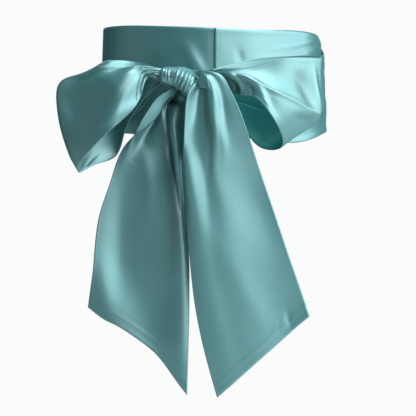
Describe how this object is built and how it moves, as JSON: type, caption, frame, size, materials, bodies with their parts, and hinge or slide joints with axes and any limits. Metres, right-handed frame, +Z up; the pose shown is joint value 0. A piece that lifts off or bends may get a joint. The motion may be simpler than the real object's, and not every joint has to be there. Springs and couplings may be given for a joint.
{
  "type": "satin sash",
  "caption": "Wide satin waist sash, wound twice round the waist and tied at the front in a bow with hanging slanted tails.",
  "frame": {"origin": "centre of the waist hollow, level with the middle of the wound band; the wearer's waist holds the sash there", "axes": "+Z up along the wearer's body, out of the top of the waist hollow; the bow faces -Y; +X is to the right as seen from the front"},
  "size_m": [0.3177, 0.2617, 0.433],
  "materials": {
    "satin": "aqua satin: fine weave, soft bright sheen along the folds, deep teal in the hollows"
  },
  "bodies": {
    "root": {"base_left": "satin", "base_right": "satin", "outer_left": "satin", "outer_right": "satin", "knot": "satin", "loop_left": "satin", "loop_right": "satin", "tail_left": "satin", "tail_right": "satin"}
  },
  "joints": []
}
